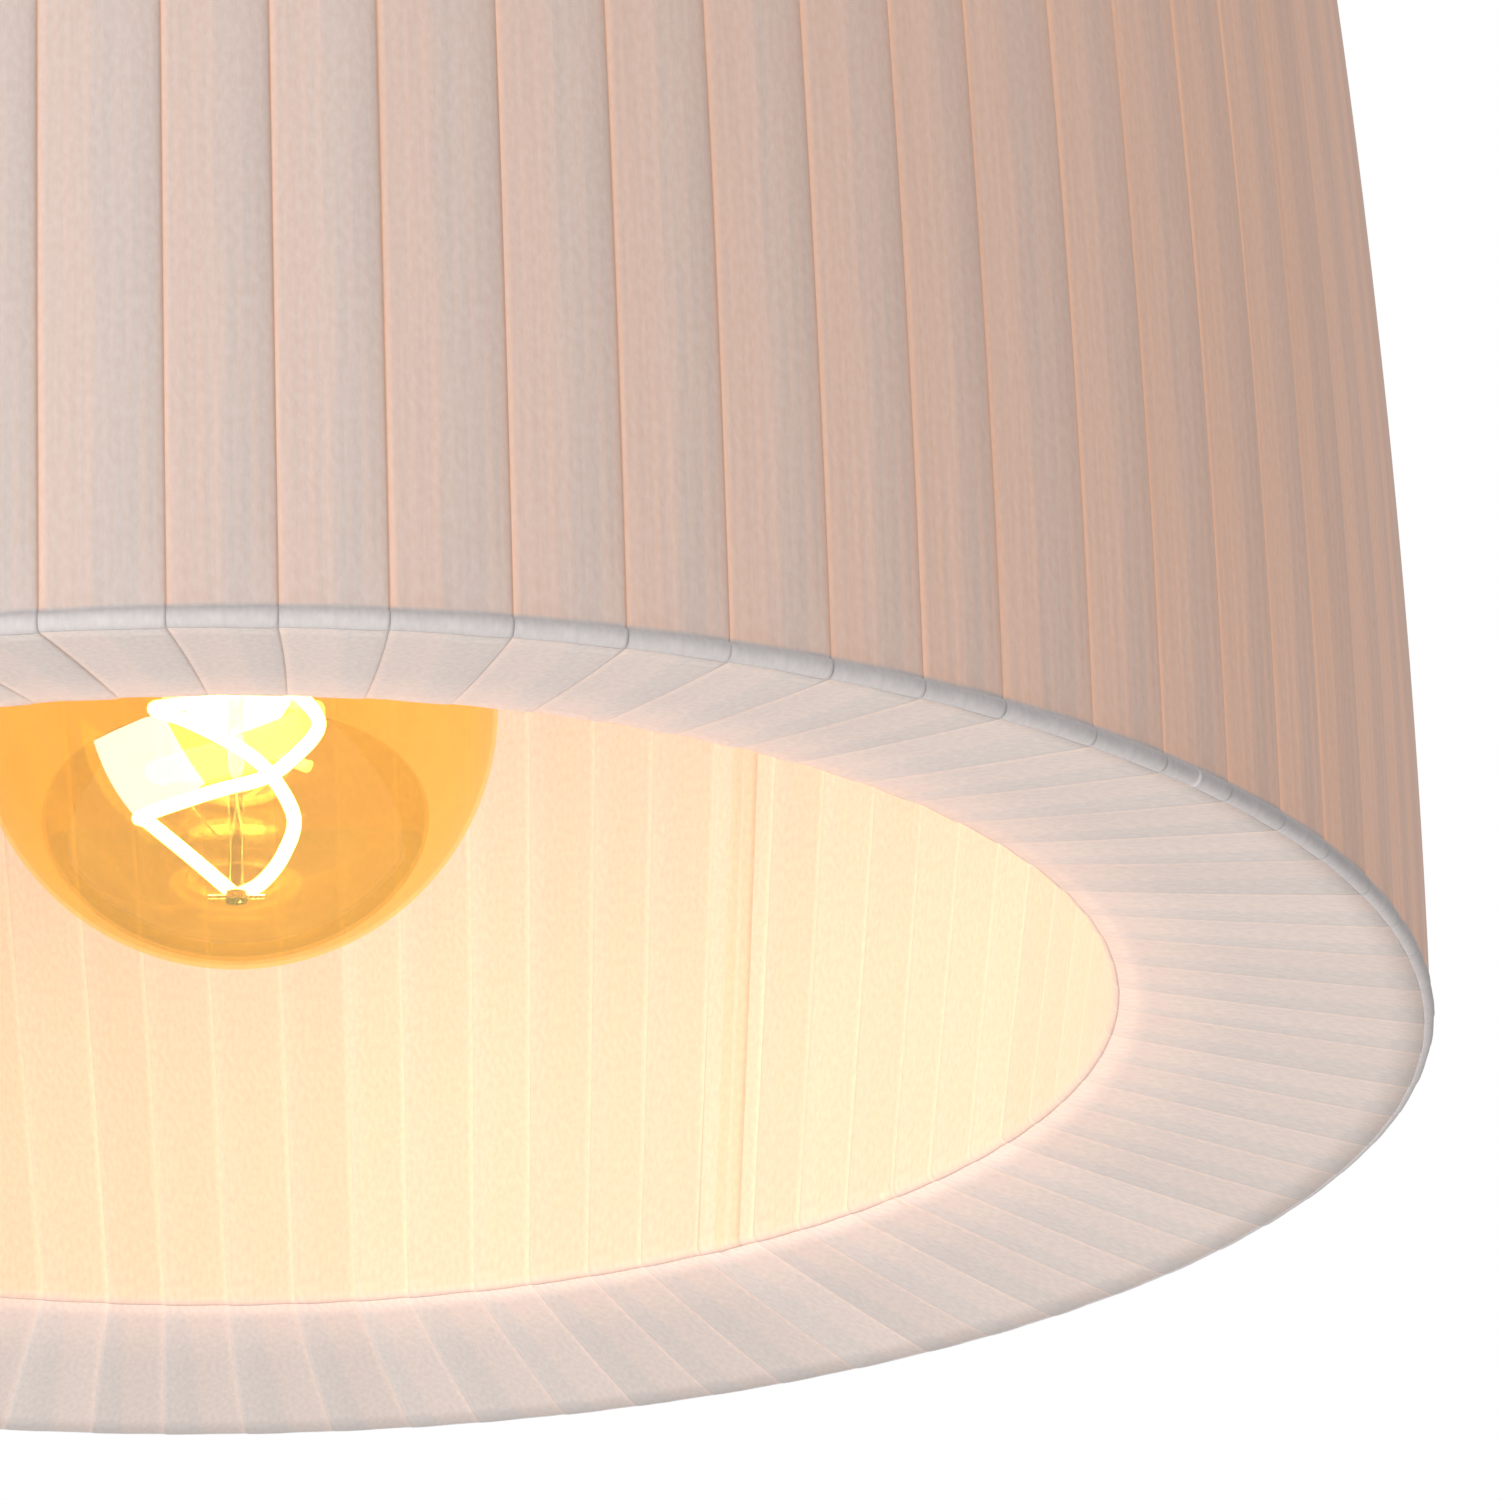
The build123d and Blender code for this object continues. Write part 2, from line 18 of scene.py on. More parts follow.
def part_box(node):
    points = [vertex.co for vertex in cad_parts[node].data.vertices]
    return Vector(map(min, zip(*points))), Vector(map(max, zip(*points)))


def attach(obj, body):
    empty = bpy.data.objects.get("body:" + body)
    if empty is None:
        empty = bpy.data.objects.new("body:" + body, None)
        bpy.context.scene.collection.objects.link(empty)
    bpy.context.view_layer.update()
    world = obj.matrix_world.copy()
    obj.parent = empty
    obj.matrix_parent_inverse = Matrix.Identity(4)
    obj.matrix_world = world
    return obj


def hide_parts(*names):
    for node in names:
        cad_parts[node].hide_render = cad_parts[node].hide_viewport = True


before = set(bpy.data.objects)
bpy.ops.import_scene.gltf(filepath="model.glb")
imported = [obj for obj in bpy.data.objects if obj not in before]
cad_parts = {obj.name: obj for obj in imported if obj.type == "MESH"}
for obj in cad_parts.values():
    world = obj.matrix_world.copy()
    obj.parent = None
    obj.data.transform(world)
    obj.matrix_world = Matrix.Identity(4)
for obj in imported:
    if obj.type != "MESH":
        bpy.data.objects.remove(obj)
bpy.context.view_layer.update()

LOG = logging.getLogger("lamp_shade")
MM = 0.001

Section = tuple[float, float, float, float, float]
"""Radius, height, the two parts of the outward normal, and the length run along the section."""


# ------------------------------------------------------------------ node trees


class Graph:
    """A node tree under construction, with short calls for the nodes that the pieces need."""

    def __init__(self, tree: bpy.types.NodeTree) -> None:
        """Empties the tree.

        Args:
            tree: the tree to build in.
        """
        self.tree = tree
        self.tree.nodes.clear()

    def put(self, socket: bpy.types.NodeSocket, value: Any) -> None:
        """Links a socket to another, or sets its value.

        Args:
            socket: the input to fill.
            value: an output socket to link from, or a plain value.
        """
        if isinstance(value, bpy.types.NodeSocket):
            self.tree.links.new(value, socket)
        else:
            socket.default_value = value

    def add(self, kind: str, inputs: dict[str | int, Any] | None = None, **settings: Any) -> bpy.types.Node:
        """Adds a node.

        Args:
            kind: the node's type name.
            inputs: what goes into its sockets, by name or index.
            settings: the node's own properties.

        Returns:
            The new node.
        """
        node = self.tree.nodes.new(kind)
        for name, value in settings.items():
            setattr(node, name, value)
        for key, value in (inputs or {}).items():
            self.put(node.inputs[key], value)
        return node

    def math(self, operation: str, *values: Any) -> bpy.types.NodeSocket:
        """Adds a Math node.

        Args:
            operation: the node's operation.
            values: one to three numbers or sockets.

        Returns:
            The node's output.
        """
        return self.add("ShaderNodeMath", dict(enumerate(values)), operation=operation).outputs[0]

    def ramp(self, value: Any, low: float, high: float, start: float = 0.0, end: float = 1.0) -> bpy.types.NodeSocket:
        """Maps a value smoothly from one range to another.

        Args:
            value: the number or socket to map.
            low: the value that gives start.
            high: the value that gives end.
            start: the result at low.
            end: the result at high.

        Returns:
            The mapped value.
        """
        inputs = {0: value, 1: low, 2: high, 3: start, 4: end}
        return self.add("ShaderNodeMapRange", inputs, interpolation_type="SMOOTHSTEP").outputs[0]

    def blend(self, factor: Any, first: Any, second: Any, how: str = "MIX") -> bpy.types.NodeSocket:
        """Mixes two colours.

        Args:
            factor: how far to go from the first to the second.
            first: the first colour.
            second: the second colour.
            how: the way of mixing.

        Returns:
            The mixed colour.
        """
        node = self.add("ShaderNodeMix", {0: factor, 6: first, 7: second}, data_type="RGBA", blend_type=how)
        return node.outputs[2]


Colour = tuple[float, float, float, float]


def rgb(red: float, green: float, blue: float) -> Colour:
    """Returns a colour with full alpha from its three linear parts."""
    return (red, green, blue, 1.0)


def new_material(name: str) -> tuple[bpy.types.Material, Graph]:
    """Makes an empty node material.

    Args:
        name: the material's name.

    Returns:
        The material and the graph of its nodes.
    """
    material = bpy.data.materials.new(name)
    material.use_nodes = True
    return material, Graph(material.node_tree)


# ------------------------------------------------------------------ finishes


@dataclass(frozen=True)
class RibbonFinish:
    """Sheer woven ribbon, with the light from behind painted on as emission, a painted glow that is strongest where it
    lies in one layer.

    Attributes:
        name: the material's name.
        single: colour of one layer.
        double: colour where two layers overlap.
        glow: colour of the painted glow, emission that stands for the light that comes through.
        single_glow: strength of that painted glow through one layer.
        double_glow: strength through two layers.
        edge_glow: extra painted glow in the gap beside the turn above.
        single_end: millimetres from the seam over which one layer becomes two.
        bead: colour where the cloth lies on a ring wire, the same cloth painted lighter there: painted light on its
            roll over the wire.
        leak: extra painted glow at the end of the section, where light gets round the ring.
        leak_span: metres along the ribbon over which the leak grows.
        weave: distance between threads in metres.
    """

    name: str
    single: Colour
    double: Colour
    glow: Colour
    single_glow: float
    double_glow: float
    edge_glow: float
    single_end: tuple[float, float] = (7.0, 9.6)
    bead: Colour = rgb(0.75, 0.70, 0.685)
    leak: float = 0.0
    leak_span: tuple[float, float] = (0.028, 0.054)
    weave: float = 0.00042

    def material(self) -> bpy.types.Material:
        """Returns the ribbon's material, which reads the winding's own map and attributes."""
        material, graph = new_material(self.name)
        strip = graph.add("ShaderNodeUVMap", uv_map="ribbon").outputs[0]
        gap = graph.add("ShaderNodeAttribute", attribute_name="from_seam").outputs["Fac"]
        tone = graph.add("ShaderNodeAttribute", attribute_name="tone").outputs["Fac"]
        streaks = graph.add("ShaderNodeMapping", {"Vector": strip, "Scale": (900.0, 14.0, 1.0)}).outputs[0]
        streak = graph.add("ShaderNodeTexNoise", {"Vector": streaks, "Scale": 1.0, "Detail": 3.0}).outputs[0]
        flecks = graph.add("ShaderNodeMapping", {"Vector": strip, "Scale": (1100.0, 520.0, 1.0)}).outputs[0]
        fleck = graph.add("ShaderNodeTexNoise", {"Vector": flecks, "Scale": 1.0, "Detail": 4.0}).outputs[0]
        drift = graph.add("ShaderNodeMapping", {"Vector": strip, "Scale": (60.0, 26.0, 1.0)}).outputs[0]
        drift = graph.add("ShaderNodeTexNoise", {"Vector": drift, "Scale": 1.0, "Detail": 2.0}).outputs[0]
        wander = graph.math("MULTIPLY_ADD", drift, 3.4, -1.7)
        place = graph.math("ADD", gap, wander)
        wire = graph.add("ShaderNodeAttribute", attribute_name="over_wire").outputs["Fac"]
        doubled = graph.ramp(place, *self.single_end)
        base = graph.blend(doubled, self.single, self.double)
        # Over the rim wire the same cloth is painted lighter, painted light on its roll.
        base = graph.blend(wire, base, self.bead)
        shade = graph.math("MULTIPLY_ADD", tone, 0.07, 0.93)
        mottle = graph.ramp(fleck, 0.25, 0.75, 0.93, 1.05)
        level = graph.math("MULTIPLY", shade, mottle)
        grey = graph.add("ShaderNodeCombineColor", {0: level, 1: level, 2: level}).outputs[0]
        base = graph.blend(1.0, base, grey, "MULTIPLY")
        # Painted glow: emission that stands for the bulb's light coming through the cloth, strongest through one layer
        # and in the gap beside the turn above, streaked, none over the wire, and on the bottom growing towards the
        # inner ring.
        edge = graph.ramp(gap, 0.2, 1.5, self.edge_glow, 0.0)
        through = graph.ramp(place, *self.single_end, self.single_glow, self.double_glow)
        light = graph.math("MULTIPLY", graph.math("ADD", through, edge), graph.ramp(streak, 0.2, 0.8, 0.86, 1.14))
        light = graph.math("MULTIPLY", light, graph.math("SUBTRACT", 1.0, wire))
        if self.leak:
            along_strip = graph.add("ShaderNodeSeparateXYZ", {0: strip}).outputs[1]
            light = graph.math("ADD", light, graph.ramp(along_strip, *self.leak_span, 0.0, self.leak))
        wave = {"Vector": strip, "Scale": 1 / self.weave / 20, "Distortion": 0.6}
        across = graph.add("ShaderNodeTexWave", wave, bands_direction="X").outputs[1]
        along = graph.add("ShaderNodeTexWave", wave, bands_direction="Y").outputs[1]
        threads = graph.math("MAXIMUM", across, along)
        height = graph.math("ADD", graph.math("MULTIPLY", threads, 0.35), fleck)
        bump = graph.add("ShaderNodeBump", {"Strength": 0.22, "Distance": 0.00025, "Height": height}).outputs[0]
        cloth = graph.add("ShaderNodeBsdfPrincipled", {
            "Base Color": base,
            "Roughness": graph.ramp(streak, 0.2, 0.8, 0.55, 0.75),
            "Sheen Weight": 0.25,
            "Sheen Roughness": 0.4,
            "Emission Color": self.glow,
            "Emission Strength": light,
            "Normal": bump,
        })
        graph.add("ShaderNodeOutputMaterial", {"Surface": cloth.outputs[0]})
        return material


@dataclass(frozen=True)
class CoatFinish:
    """A coated, moulded or drawn surface with grain.

    Attributes:
        name: the material's name.
        colour: base colour.
        metallic: 1 for bare metal.
        roughness: lowest and highest roughness.
        grain: size of the grain in metres.
        relief: height of the grain in metres.
        variation: how far the colour varies.
        stretch: how many times longer the grain is along Z than across.
        emission: strength of its own light.
    """

    name: str
    colour: Colour
    metallic: float = 0.0
    roughness: tuple[float, float] = (0.35, 0.5)
    grain: float = 0.002
    relief: float = 0.00003
    variation: float = 0.06
    stretch: float = 1.0
    emission: float = 0.0

    def material(self) -> bpy.types.Material:
        """Returns the material, with its grain on object coordinates."""
        material, graph = new_material(self.name)
        place = graph.add("ShaderNodeTexCoord").outputs["Object"]
        scale = 1 / self.grain
        scales = (scale, scale, scale / self.stretch)
        mapped = graph.add("ShaderNodeMapping", {"Vector": place, "Scale": scales}).outputs[0]
        fine = graph.add("ShaderNodeTexNoise", {"Vector": mapped, "Scale": 1.0, "Detail": 5.0}).outputs[0]
        broad = graph.add("ShaderNodeTexNoise", {"Vector": mapped, "Scale": 0.09, "Detail": 2.0}).outputs[0]
        level = graph.ramp(broad, 0.3, 0.7, 1.0 - self.variation, 1.0)
        grey = graph.add("ShaderNodeCombineColor", {0: level, 1: level, 2: level}).outputs[0]
        base = graph.blend(1.0, self.colour, grey, "MULTIPLY")
        bump = graph.add("ShaderNodeBump", {"Strength": 0.6, "Distance": self.relief, "Height": fine}).outputs[0]
        shader = graph.add("ShaderNodeBsdfPrincipled", {
            "Base Color": base,
            "Metallic": self.metallic,
            "Roughness": graph.ramp(fine, 0.3, 0.7, *self.roughness),
            "Normal": bump,
        })
        if self.emission:
            graph.put(shader.inputs["Emission Color"], base)
            graph.put(shader.inputs["Emission Strength"], self.emission)
        graph.add("ShaderNodeOutputMaterial", {"Surface": shader.outputs[0]})
        return material


@dataclass(frozen=True)
class GlassFinish:
    """Thin blown glass that tints what is seen through each of its faces.

    Attributes:
        name: the material's name.
        tint: colour that one face lets through.
        mirror: share of light that a face reflects head on.
        smoke: how far the tint varies over the glass.
    """

    name: str
    tint: Colour
    mirror: float = 0.05
    smoke: float = 0.04

    def material(self) -> bpy.types.Material:
        """Returns the glass, clear at its centre and bright at its edge."""
        material, graph = new_material(self.name)
        place = graph.add("ShaderNodeTexCoord").outputs["Object"]
        cloud = graph.add("ShaderNodeTexNoise", {"Vector": place, "Scale": 30.0, "Detail": 3.0}).outputs[0]
        level = graph.ramp(cloud, 0.3, 0.7, 1.0 - self.smoke, 1.0)
        grey = graph.add("ShaderNodeCombineColor", {0: level, 1: level, 2: level}).outputs[0]
        tint = graph.blend(1.0, self.tint, grey, "MULTIPLY")
        clear = graph.add("ShaderNodeBsdfTransparent", {"Color": tint})
        shine = graph.add("ShaderNodeBsdfGlossy", {"Color": rgb(1, 1, 1), "Roughness": 0.02})
        facing = graph.add("ShaderNodeLayerWeight", {"Blend": 0.25}).outputs["Facing"]
        rim = graph.math("POWER", facing, 3.0)
        share = graph.math("MULTIPLY_ADD", rim, 0.5, self.mirror)
        both = graph.add("ShaderNodeMixShader", {0: share, 1: clear.outputs[0], 2: shine.outputs[0]})
        open_way = graph.add("ShaderNodeBsdfTransparent", {"Color": rgb(1, 1, 1)})
        shadow = graph.add("ShaderNodeLightPath").outputs["Is Shadow Ray"]
        glass = graph.add("ShaderNodeMixShader", {0: shadow, 1: both.outputs[0], 2: open_way.outputs[0]})
        graph.add("ShaderNodeOutputMaterial", {"Surface": glass.outputs[0]})
        return material


MADE: dict[str, bpy.types.Material] = {}


class Finish(Enum):
    """The finishes of the lamp, by piece."""

    # The three sides and the tucked end are one cloth. Their base colours are painted light and shade: darker and
    # bluer on the outer wall, lighter on the bottom, and warm orange on the inner wall and the end, where the bulb's
    # light is painted in. Their glow colours and strengths are painted glow.
    OUTER_RIBBON = RibbonFinish(
        "outer_ribbon_cloth", rgb(0.42, 0.49, 0.52), rgb(0.42, 0.495, 0.525), rgb(1.0, 0.38, 0.11), 0.365, 0.298, 0.14)
    BOTTOM_RIBBON = RibbonFinish(
        "bottom_ribbon_cloth", rgb(0.79, 0.71, 0.665), rgb(0.77, 0.71, 0.675), rgb(1.0, 0.50, 0.28), 0.10, 0.06, 0.08,
        leak=0.16)
    INNER_RIBBON = RibbonFinish(
        "inner_ribbon_cloth", rgb(0.90, 0.65, 0.55), rgb(0.92, 0.68, 0.585), rgb(1.0, 0.60, 0.40), 0.15, 0.10, 0.14)
    RIBBON_END = RibbonFinish(
        "ribbon_end_cloth", rgb(0.89, 0.67, 0.53), rgb(0.89, 0.67, 0.53), rgb(1.0, 0.60, 0.38), 0.13, 0.13, 0.0)
    FRAME_WIRE = CoatFinish("frame_powder_coat", rgb(0.80, 0.79, 0.76), roughness=(0.4, 0.55), grain=0.0012)
    SPIDER = CoatFinish("spider_powder_coat", rgb(0.80, 0.79, 0.76), roughness=(0.4, 0.55), grain=0.0012)
    HOLDER = CoatFinish("holder_white_plastic", rgb(0.82, 0.81, 0.78), roughness=(0.22, 0.34), grain=0.0016)
    SHADE_RING = CoatFinish("shade_ring_plastic", rgb(0.82, 0.81, 0.78), roughness=(0.25, 0.38), grain=0.0016)
    INSERT = CoatFinish("steatite_insert", rgb(0.86, 0.84, 0.78), roughness=(0.12, 0.3), grain=0.003)
    BRASS = CoatFinish("stamped_brass", rgb(0.75, 0.55, 0.22), 1.0, (0.25, 0.42), 0.0008, stretch=0.2)
    SCREW_STEEL = CoatFinish("zinc_plated_screw", rgb(0.62, 0.62, 0.60), 1.0, (0.25, 0.45), 0.0006)
    BULB_CAP = CoatFinish("bulb_cap_metal", rgb(0.72, 0.72, 0.71), 1.0, (0.2, 0.34), 0.0009, stretch=0.15)
    SOLDER = CoatFinish("tin_solder", rgb(0.58, 0.58, 0.57), 1.0, (0.3, 0.5), 0.0012, 0.0001)
    INSULATOR = CoatFinish("black_vitrite", rgb(0.012, 0.012, 0.014), roughness=(0.05, 0.12), grain=0.004)
    LEAD_WIRE = CoatFinish("nickel_lead_wire", rgb(0.70, 0.66, 0.58), 1.0, (0.2, 0.35), 0.0004)
    FILAMENT = CoatFinish("lit_filament", rgb(1.0, 0.86, 0.62), roughness=(0.6, 0.8), grain=0.0012, emission=9.0)
    AMBER_GLASS = GlassFinish("blown_amber_glass", rgb(1.0, 0.93, 0.47), 0.15)
    STEM_GLASS = GlassFinish("drawn_clear_glass", rgb(0.97, 0.95, 0.88), 0.06)
    FLOOR = CoatFinish("pale_floor", rgb(0.86, 0.85, 0.83), roughness=(0.6, 0.8), grain=0.05, emission=0.2)

    def made(self) -> bpy.types.Material:
        """Returns this finish's material, made once."""
        if self.value.name not in MADE:
            MADE[self.value.name] = self.value.material()
        return MADE[self.value.name]


# ------------------------------------------------------------------ meshes


def mesh_object(
    name: str, points: Sequence[Vector], faces: Sequence[Sequence[int]], smooth: bool = True,
) -> bpy.types.Object:
    """Makes an object at the origin from points and faces.

    Args:
        name: the object's name.
        points: the vertices, in metres.
        faces: vertex numbers of each face.
        smooth: whether the faces are shaded smooth.

    Returns:
        The new object, linked to the scene.
    """
    mesh = bpy.data.meshes.new(name)
    mesh.from_pydata([tuple(p) for p in points], [], [list(f) for f in faces])
    mesh.polygons.foreach_set("use_smooth", [smooth] * len(mesh.polygons))
    mesh.update()
    piece = bpy.data.objects.new(name, mesh)
    bpy.context.scene.collection.objects.link(piece)
    return piece


def turned(name: str, outline: Sequence[tuple[float, float]], steps: int = 96) -> bpy.types.Object:
    """Turns a closed outline round the Z axis.

    Args:
        name: the object's name.
        outline: radius and height of each point, going round the section so that solid lies on its left.
        steps: how many steps make the turn.

    Returns:
        The turned piece. Points on the axis are single vertices.
    """
    points: list[Vector] = []
    rows: list[list[int]] = []
    for radius, height in outline:
        if radius < 1e-7:
            points.append(Vector((0, 0, height)))
            rows.append([len(points) - 1] * steps)
            continue
        first = len(points)
        for step in range(steps):
            angle = math.tau * step / steps
            points.append(Vector((radius * math.cos(angle), radius * math.sin(angle), height)))
        rows.append(list(range(first, first + steps)))
    faces = []
    for here, there in zip(rows, rows[1:] + rows[:1]):
        for step in range(steps):
            after = (step + 1) % steps
            ring = [here[step], here[after], there[after], there[step]]
            face = [v for i, v in enumerate(ring) if v != ring[i - 1]]
            if len(set(face)) > 2:
                faces.append(face)
    return mesh_object(name, points, faces)


def arc(
    centre: tuple[float, float], radius: float, start: float, end: float, steps: int,
) -> list[tuple[float, float]]:
    """Returns points along an arc of the half section.

    Args:
        centre: radius and height of the arc's centre.
        radius: the arc's radius.
        start: first angle in degrees, from the outward direction towards +Z.
        end: last angle in degrees.
        steps: how many steps the arc takes.
    """
    angles = (math.radians(start + (end - start) * i / steps) for i in range(steps + 1))
    return [(centre[0] + radius * math.cos(a), centre[1] + radius * math.sin(a)) for a in angles]


def tube(name: str, path: Sequence[Vector], radius: float, sides: int = 12) -> bpy.types.Object:
    """Makes a closed tube along a smooth path.

    Args:
        name: the object's name.
        path: points along the middle.
        radius: the tube's radius.
        sides: how many sides the tube has.

    Returns:
        The tube, with both ends closed.
    """
    points: list[Vector] = []
    faces: list[list[int]] = []
    side = Vector((0, 0, 1)).cross(path[1] - path[0])
    side = side if side.length > 1e-9 else Vector((1, 0, 0))
    for index, point in enumerate(path):
        ahead = path[min(index + 1, len(path) - 1)] - path[max(index - 1, 0)]
        ahead.normalize()
        side = (side - ahead * side.dot(ahead)).normalized()
        up = ahead.cross(side)
        for corner in range(sides):
            angle = math.tau * corner / sides
            points.append(point + (side * math.cos(angle) + up * math.sin(angle)) * radius)
    for row in range(len(path) - 1):
        for corner in range(sides):
            after = (corner + 1) % sides
            low, high = row * sides, (row + 1) * sides
            faces.append([low + corner, low + after, high + after, high + corner])
    faces.append(list(range(sides))[::-1])
    faces.append([(len(path) - 1) * sides + corner for corner in range(sides)])
    return mesh_object(name, points, faces)


def dressed(piece: bpy.types.Object, body: str, finish: Finish, slot: str, *replaced: str) -> bpy.types.Object:
    """Gives a new piece its material and body.

    Args:
        piece: the piece.
        body: the CAD body that it moves with.
        finish: its finish.
        slot: not used.
        replaced: the CAD nodes that it stands for.

    Returns:
        The same piece.
    """
    if not piece.data.materials:
        piece.data.materials.append(finish.made())
    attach(piece, body)
    if replaced:
        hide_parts(*replaced)
    LOG.info("%s: %d faces, on %s", piece.name, len(piece.data.polygons), body)
    return piece


def coat_nodes(names: Iterable[str], finish: Finish) -> None:
    """Gives CAD nodes that keep their own shape a finish.

    Args:
        names: the nodes.
        finish: their finish.
    """
    for name in names:
        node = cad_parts[name]
        node.data.materials.clear()
        node.data.materials.append(finish.made())
        LOG.info("%s: coated with %s", name, finish.value.name)


# ------------------------------------------------------------------ the winding


@dataclass(frozen=True)
class RingWire:
    """A ring wire of the frame.

    Attributes:
        radius: of its centre line.
        height: of its plane.
        wire: radius of the wire.
    """

    radius: float
    height: float
    wire: float

    @classmethod
    def of(cls, node: str) -> RingWire:
        """Measures a ring from its CAD node's box."""
        low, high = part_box(node)
        wire = (high[2] - low[2]) / 2
        return cls((high[0] - low[0]) / 2 - wire, (high[2] + low[2]) / 2, wire)

    def at(self, distance: float, angle: float) -> tuple[float, float, float, float]:
        """Returns the section point at a distance from the wire's centre, with its normal."""
        away = math.radians(angle)
        across, up = math.cos(away), math.sin(away)
        return (self.radius + across * distance, self.height + up * distance, across, up)


class Side(Enum):
    """The three sides of the winding's section."""

    OUTER = "outer"
    BOTTOM = "bottom"
    INNER = "inner"


@dataclass
class RibbonWinding:
    """The ribbon, wound in overlapping turns round the three ring wires.

    Attributes:
        turns: how many turns there are.
        width: the ribbon's width.
        thickness: one layer.
        first_edge: where the first turn's upper edge crosses the bottom ring, in degrees from -Y towards +X.
        scatter: how far a turn strays from its place, in degrees.
        bow: outward bow of the outer wall.
        roll: radius of the ribbon's roll round the bottom ring.
        wrinkle: height of the wrinkles, from hollow to crest.
        outer_lean: lean of a turn at the top of the outer wall, in degrees.
        bottom_lean: lean at the inner end of the bottom, in degrees.
        inner_lean: lean at the top of the inner wall, in degrees.
        crest_lean: lean where the inner wall ends on the top ring, in degrees.
        tuck_bearing: bearing of the tucked end, in degrees.
        rim: the bottom outer ring.
        inner: the bottom inner ring.
        top: the top ring.
    """

    turns: int = 79
    width: float = 0.025
    thickness: float = 0.00012
    first_edge: float = 1.58
    scatter: float = 0.42
    bow: float = 0.0033
    roll: float = 0.00138
    wrinkle: float = 0.00028
    outer_lean: float = -0.72
    bottom_lean: float = 1.2
    inner_lean: float = 4.6
    crest_lean: float = 3.84
    tuck_bearing: float = 141.0
    rim: RingWire = field(default_factory=lambda: RingWire.of("bottom_outer_ring"))
    inner: RingWire = field(default_factory=lambda: RingWire.of("bottom_inner_ring"))
    top: RingWire = field(default_factory=lambda: RingWire.of("top_ring"))

    # Places across the ribbon and how far each lies off the section, both in millimetres. The low side is
    # under the turn before, the high side is over the turn after, and the upper edge curls down.
    profile = (
        (-12.5, 0.0), (-8.6, 0.02), (-4.6, 0.06), (-2.6, 0.14), (0.8, 0.18), (3.4, 0.22), (5.4, 0.50),
        (8.6, 0.62), (11.0, 0.66), (12.0, 0.50), (12.5, 0.24),
    )

    # The same for the creased end, which is narrower and stands up at its crease.
    tuck_profile = (
        (-5.0, 0.3), (-3.4, 0.42), (-1.6, 0.5), (-0.5, 1.0), (0.3, 1.1), (0.9, 0.6), (3.0, 0.5), (5.0, 0.32),
    )

    # Gap between a wire and the cloth on it, and steps along each side between its wires.
    gap = 0.0002
    steps_along = {Side.OUTER: 24, Side.BOTTOM: 9, Side.INNER: 22}

    # Angles of the steps round the top ring and round the roll at the rim, from outwards towards +Z.
    crest_angles = (90, 68, 46, 24, 8)
    roll_angles = (62, 40, 16, -10, -36, -62, -86, -103)

    def section(self, side: Side) -> list[tuple[Section, float, float]]:
        """Works out one side of the section, in the direction that the ribbon runs.

        Args:
            side: which side.

        Returns:
            For each step, the section point, the lean in degrees and the share of the layers' step kept there.
        """
        steps: list[tuple[tuple[float, float, float, float], float, float]] = []
        hug, wall = self.top.wire + self.gap, self.steps_along[side]
        if side is Side.OUTER:
            for angle in self.crest_angles:
                steps.append((self.top.at(hug, angle), self.outer_lean, 0.5))
            start, end = self.top.at(hug, 4), (self.rim.radius + 0.0005, self.rim.height + 0.0021)
            for step in range(wall + 1):
                share = step / wall
                bulge = 4 * self.bow * share * (1 - share)
                radius = start[0] + (end[0] - start[0]) * share + bulge
                height = start[1] + (end[1] - start[1]) * share
                steps.append(((radius, height, 1.0, 0.0), self.outer_lean * (1 - share), 1.0 - 0.35 * share**6))
            for angle in self.roll_angles:
                steps.append((self.rim.at(self.roll, angle), 0.0, 0.2))
        run = math.degrees(math.atan2(self.inner.height - self.rim.height, self.rim.radius - self.inner.radius))
        under = -90 - run
        if side is Side.BOTTOM:
            start, end = self.rim.at(self.roll, under), self.inner.at(self.inner.wire + self.gap, under)
            for step in range(wall + 1):
                share = step / wall
                point = tuple(a + (b - a) * share for a, b in zip(start, end))
                steps.append((point, self.bottom_lean * share, 0.36 + 0.3 * math.sin(math.pi * share)))
        if side is Side.INNER:
            slope = math.degrees(math.atan2(self.top.height - self.inner.height, self.top.radius - self.inner.radius))
            face = 90 + slope
            for share in (0.0, 0.2, 0.4, 0.6, 0.8):
                angle = under + (face - 360 - under) * share
                steps.append((self.inner.at(self.inner.wire + self.gap, angle), self.bottom_lean, 0.36))
            start, end = self.inner.at(self.inner.wire + self.gap, face), self.top.at(hug, face)
            for step in range(wall + 1):
                share = step / wall
                point = tuple(a + (b - a) * share for a, b in zip(start, end))
                lean = self.bottom_lean + (self.inner_lean - self.bottom_lean) * share
                steps.append((point, lean, 0.4 + 0.6 * math.sin(math.pi * share) ** 0.5))
            for share in (0.33, 0.66, 1.0):
                lean = self.inner_lean + (self.crest_lean - self.inner_lean) * share
                steps.append((self.top.at(hug, face + (90 - face) * share), lean, 0.5))
        length, result = 0.0, []
        for index, (point, lean, lay) in enumerate(steps):
            if index:
                before = steps[index - 1][0]
                length += math.hypot(point[0] - before[0], point[1] - before[1])
            result.append(((*point, length), lean, lay))
        return result

